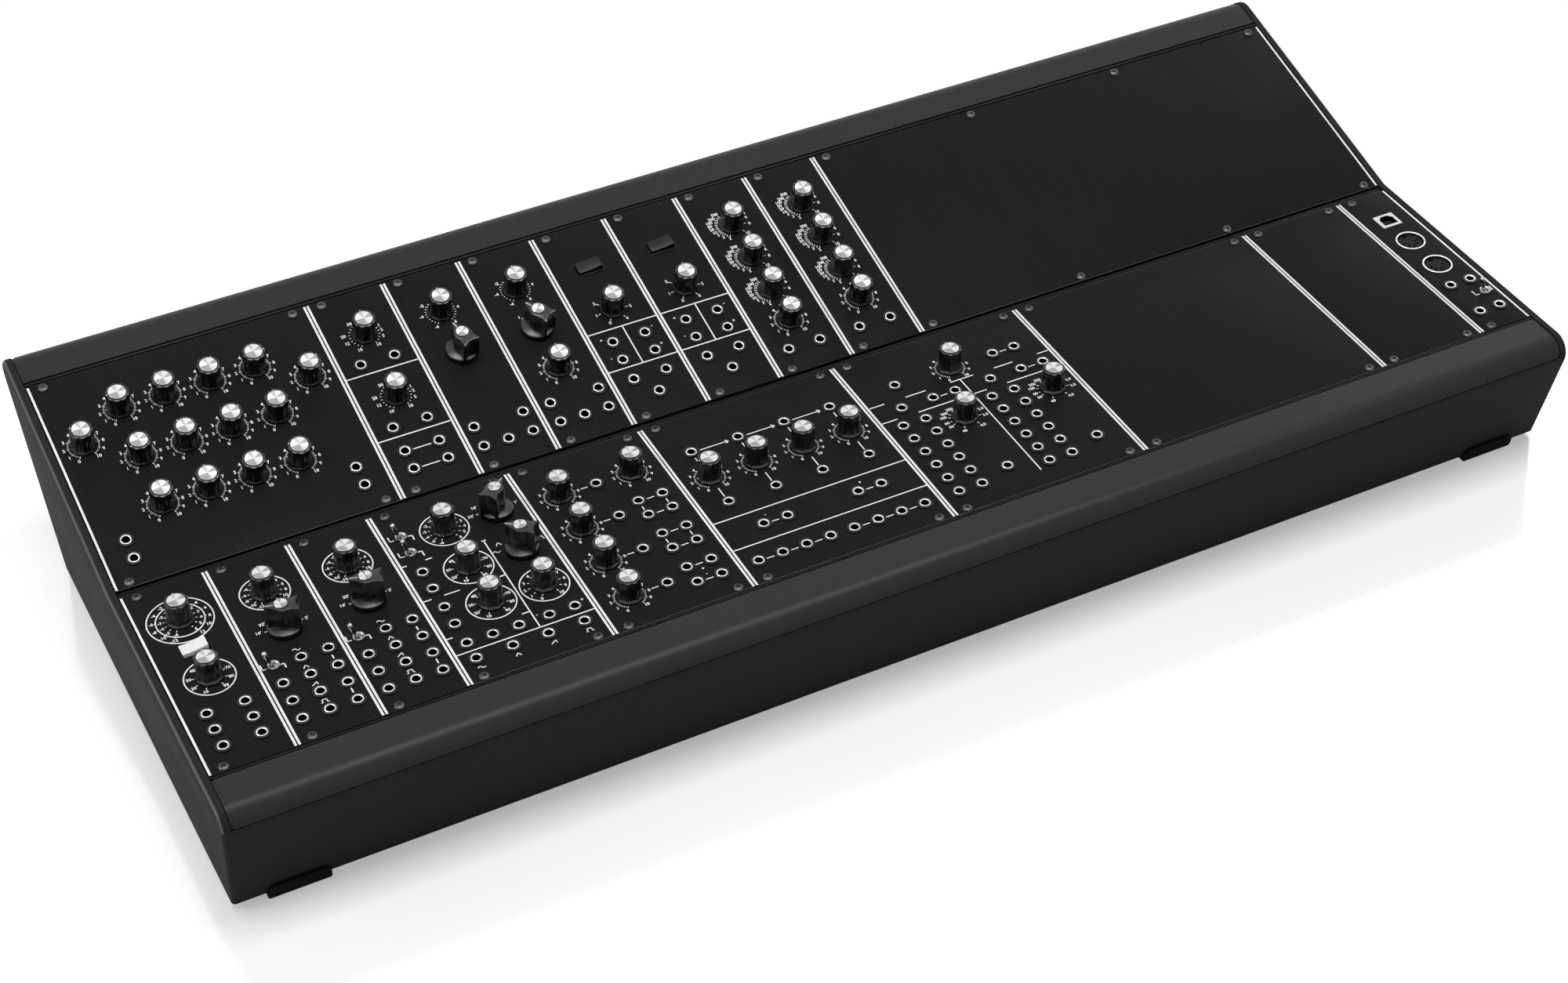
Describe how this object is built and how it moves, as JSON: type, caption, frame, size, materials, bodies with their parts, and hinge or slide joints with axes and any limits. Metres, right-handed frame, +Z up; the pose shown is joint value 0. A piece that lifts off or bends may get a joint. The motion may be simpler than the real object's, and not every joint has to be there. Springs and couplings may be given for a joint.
{
  "type": "modular synthesizer",
  "caption": "Desktop modular synthesizer: two tiers of black rack modules with knobs, switches and patch sockets in a low folded-metal case.",
  "frame": {"origin": "on the table under the middle of the case", "axes": "+X to the player's right along the case, +Y to the back, +Z up"},
  "size_m": [0.7212, 0.3118, 0.1094],
  "materials": {
    "panel_black": "brushed black anodised panel",
    "case_grey": "fine-grain dark grey powder coat",
    "cover_grey": "satin dark grey",
    "rail_metal": "dark anodised",
    "foot_rubber": "matt",
    "knob_black": "semi-gloss",
    "rocker_black": "semi-gloss",
    "rocker_white": "semi-gloss",
    "toggle_chrome": "bright",
    "board_green": "solder-masked circuit board",
    "knob_cap": "spun",
    "socket_nickel": "bright nickel",
    "socket_black": "matt",
    "data_socket_white": "satin",
    "screw_black": "black oxide",
    "print_white": "screen print"
  },
  "bodies": {
    "case": {"case_tub": "case_grey", "front_cover_strip": "cover_grey", "rear_cover_strip": "cover_grey", "front_rail": "rail_metal", "centre_rail": "rail_metal", "rear_rail": "rail_metal", "power_board": "board_green", "front_left_foot": "foot_rubber", "rear_left_foot": "foot_rubber", "front_right_foot": "foot_rubber", "rear_right_foot": "foot_rubber", "driver_module": "panel_black", "oscillator_left": "panel_black", "oscillator_right": "panel_black", "main_oscillator": "panel_black", "mixer_module": "panel_black", "attenuator_module": "panel_black", "interface_module": "panel_black", "lower_wide_blank_panel": "panel_black", "lower_narrow_blank_panel": "panel_black", "converter_module": "panel_black", "filter_bank": "panel_black", "dual_filter": "panel_black", "high_pass_filter": "panel_black", "low_pass_filter": "panel_black", "amplifier_left": "panel_black", "amplifier_right": "panel_black", "envelope_left": "panel_black", "envelope_right": "panel_black", "upper_blank_panel": "panel_black"},
    "dual_filter_upper_knob": {"dual_filter_upper_knob": "knob_black"},
    "dual_filter_lower_knob": {"dual_filter_lower_knob": "knob_black"},
    "high_pass_knob": {"high_pass_knob": "knob_black"},
    "low_pass_upper_knob": {"low_pass_upper_knob": "knob_black"},
    "low_pass_lower_knob": {"low_pass_lower_knob": "knob_black"},
    "amplifier_left_knob": {"amplifier_left_knob": "knob_black"},
    "amplifier_right_knob": {"amplifier_right_knob": "knob_black"},
    "driver_upper_knob": {"driver_upper_knob": "knob_black"},
    "driver_lower_knob": {"driver_lower_knob": "knob_black"},
    "oscillator_left_knob": {"oscillator_left_knob": "knob_black"},
    "oscillator_right_knob": {"oscillator_right_knob": "knob_black"},
    "main_oscillator_first_knob": {"main_oscillator_first_knob": "knob_black"},
    "main_oscillator_second_knob": {"main_oscillator_second_knob": "knob_black"},
    "main_oscillator_third_knob": {"main_oscillator_third_knob": "knob_black"},
    "main_oscillator_fourth_knob": {"main_oscillator_fourth_knob": "knob_black"},
    "mixer_master_knob": {"mixer_master_knob": "knob_black"},
    "high_pass_range_knob": {"high_pass_range_knob": "knob_black"},
    "low_pass_range_knob": {"low_pass_range_knob": "knob_black"},
    "oscillator_left_range_knob": {"oscillator_left_range_knob": "knob_black"},
    "oscillator_right_range_knob": {"oscillator_right_range_knob": "knob_black"},
    "main_oscillator_upper_range_knob": {"main_oscillator_upper_range_knob": "knob_black"},
    "main_oscillator_lower_range_knob": {"main_oscillator_lower_range_knob": "knob_black"},
    "oscillator_left_toggle": {"oscillator_left_toggle": "toggle_chrome"},
    "oscillator_right_toggle": {"oscillator_right_toggle": "toggle_chrome"},
    "main_oscillator_upper_toggle": {"main_oscillator_upper_toggle": "toggle_chrome"},
    "main_oscillator_lower_toggle": {"main_oscillator_lower_toggle": "toggle_chrome"},
    "converter_toggle": {"converter_toggle": "toggle_chrome"},
    "driver_rocker": {"driver_rocker": "rocker_white"},
    "amplifier_left_rocker": {"amplifier_left_rocker": "rocker_black"},
    "amplifier_right_rocker": {"amplifier_right_rocker": "rocker_black"}
  },
  "joints": [
    {"name": "dual_filter_upper_knob_turn", "type": "hinge", "parent": "case", "child": "dual_filter_upper_knob", "pos_m": [-0.19304, 0.10178, 0.0957], "axis": [0, -0.2546, 0.967], "range_deg": [-150, 150]},
    {"name": "dual_filter_lower_knob_turn", "type": "hinge", "parent": "case", "child": "dual_filter_lower_knob", "pos_m": [-0.19304, 0.06182, 0.08518], "axis": [0, -0.2546, 0.967], "range_deg": [-150, 150]},
    {"name": "high_pass_knob_turn", "type": "hinge", "parent": "case", "child": "high_pass_knob", "pos_m": [-0.1524, 0.10178, 0.0957], "axis": [0, -0.2546, 0.967], "range_deg": [-150, 150]},
    {"name": "low_pass_upper_knob_turn", "type": "hinge", "parent": "case", "child": "low_pass_upper_knob", "pos_m": [-0.11176, 0.10178, 0.0957], "axis": [0, -0.2546, 0.967], "range_deg": [-150, 150]},
    {"name": "low_pass_lower_knob_turn", "type": "hinge", "parent": "case", "child": "low_pass_lower_knob", "pos_m": [-0.11176, 0.0495, 0.08194], "axis": [0, -0.2546, 0.967], "range_deg": [-150, 150]},
    {"name": "amplifier_left_knob_turn", "type": "hinge", "parent": "case", "child": "amplifier_left_knob", "pos_m": [-0.07112, 0.07356, 0.08827], "axis": [0, -0.2546, 0.967], "range_deg": [-150, 150]},
    {"name": "amplifier_right_knob_turn", "type": "hinge", "parent": "case", "child": "amplifier_right_knob", "pos_m": [-0.03048, 0.07356, 0.08827], "axis": [0, -0.2546, 0.967], "range_deg": [-150, 150]},
    {"name": "driver_upper_knob_turn", "type": "hinge", "parent": "case", "child": "driver_upper_knob", "pos_m": [-0.33528, -0.02819, 0.07], "axis": [0, 0, 1], "range_deg": [-150, 150]},
    {"name": "driver_lower_knob_turn", "type": "hinge", "parent": "case", "child": "driver_lower_knob", "pos_m": [-0.33528, -0.06992, 0.07], "axis": [0, 0, 1], "range_deg": [-150, 150]},
    {"name": "oscillator_left_knob_turn", "type": "hinge", "parent": "case", "child": "oscillator_left_knob", "pos_m": [-0.29464, -0.02819, 0.07], "axis": [0, 0, 1], "range_deg": [-150, 150]},
    {"name": "oscillator_right_knob_turn", "type": "hinge", "parent": "case", "child": "oscillator_right_knob", "pos_m": [-0.254, -0.02819, 0.07], "axis": [0, 0, 1], "range_deg": [-150, 150]},
    {"name": "main_oscillator_first_knob_turn", "type": "hinge", "parent": "case", "child": "main_oscillator_first_knob", "pos_m": [-0.20431, -0.02508, 0.07], "axis": [0, 0, 1], "range_deg": [-150, 150]},
    {"name": "main_oscillator_second_knob_turn", "type": "hinge", "parent": "case", "child": "main_oscillator_second_knob", "pos_m": [-0.20431, -0.05517, 0.07], "axis": [0, 0, 1], "range_deg": [-150, 150]},
    {"name": "main_oscillator_third_knob_turn", "type": "hinge", "parent": "case", "child": "main_oscillator_third_knob", "pos_m": [-0.20431, -0.08245, 0.07], "axis": [0, 0, 1], "range_deg": [-150, 150]},
    {"name": "main_oscillator_fourth_knob_turn", "type": "hinge", "parent": "case", "child": "main_oscillator_fourth_knob", "pos_m": [-0.17771, -0.08245, 0.07], "axis": [0, 0, 1], "range_deg": [-150, 150]},
    {"name": "mixer_master_knob_turn", "type": "hinge", "parent": "case", "child": "mixer_master_knob", "pos_m": [-0.10808, -0.02819, 0.07], "axis": [0, 0, 1], "range_deg": [-150, 150]},
    {"name": "high_pass_range_knob_turn", "type": "hinge", "parent": "case", "child": "high_pass_range_knob", "pos_m": [-0.1524, 0.07511, 0.08868], "axis": [0, -0.2546, 0.967], "range_deg": [-91, 59]},
    {"name": "low_pass_range_knob_turn", "type": "hinge", "parent": "case", "child": "low_pass_range_knob", "pos_m": [-0.11176, 0.07511, 0.08868], "axis": [0, -0.2546, 0.967], "range_deg": [-109, 41]},
    {"name": "oscillator_left_range_knob_turn", "type": "hinge", "parent": "case", "child": "oscillator_left_range_knob", "pos_m": [-0.29464, -0.05577, 0.07], "axis": [0, 0, 1], "range_deg": [-150, 0]},
    {"name": "oscillator_right_range_knob_turn", "type": "hinge", "parent": "case", "child": "oscillator_right_range_knob", "pos_m": [-0.254, -0.05577, 0.07], "axis": [0, 0, 1], "range_deg": [-150, 0]},
    {"name": "main_oscillator_upper_range_knob_turn", "type": "hinge", "parent": "case", "child": "main_oscillator_upper_range_knob", "pos_m": [-0.17728, -0.02498, 0.07], "axis": [0, 0, 1], "range_deg": [-25, 125]},
    {"name": "main_oscillator_lower_range_knob_turn", "type": "hinge", "parent": "case", "child": "main_oscillator_lower_range_knob", "pos_m": [-0.17728, -0.05567, 0.07], "axis": [0, 0, 1], "range_deg": [-128, 22]},
    {"name": "oscillator_left_toggle_throw", "type": "hinge", "parent": "case", "child": "oscillator_left_toggle", "pos_m": [-0.30765, -0.07704, 0.0685], "axis": [0, 1, 0], "range_deg": [0, 34]},
    {"name": "oscillator_right_toggle_throw", "type": "hinge", "parent": "case", "child": "oscillator_right_toggle", "pos_m": [-0.267, -0.07704, 0.0685], "axis": [0, 1, 0], "range_deg": [0, 34]},
    {"name": "main_oscillator_upper_toggle_throw", "type": "hinge", "parent": "case", "child": "main_oscillator_upper_toggle", "pos_m": [-0.22493, -0.02187, 0.0685], "axis": [0, 1, 0], "range_deg": [0, 34]},
    {"name": "main_oscillator_lower_toggle_throw", "type": "hinge", "parent": "case", "child": "main_oscillator_lower_toggle", "pos_m": [-0.22493, -0.03451, 0.0685], "axis": [0, 1, 0], "range_deg": [0, 34]},
    {"name": "converter_toggle_throw", "type": "hinge", "parent": "case", "child": "converter_toggle", "pos_m": [0.34761, -0.10121, 0.0685], "axis": [0, 1, 0], "range_deg": [0, 34]},
    {"name": "driver_rocker_tip", "type": "hinge", "parent": "case", "child": "driver_rocker", "pos_m": [-0.33528, -0.04985, 0.0685], "axis": [0, 1, 0], "range_deg": [0, 16]},
    {"name": "amplifier_left_rocker_tip", "type": "hinge", "parent": "case", "child": "amplifier_left_rocker", "pos_m": [-0.07112, 0.10168, 0.09413], "axis": [0, 0.967, 0.2546], "range_deg": [0, 16]},
    {"name": "amplifier_right_rocker_tip", "type": "hinge", "parent": "case", "child": "amplifier_right_rocker", "pos_m": [-0.03048, 0.10168, 0.09413], "axis": [0, 0.967, 0.2546], "range_deg": [0, 16]}
  ]
}
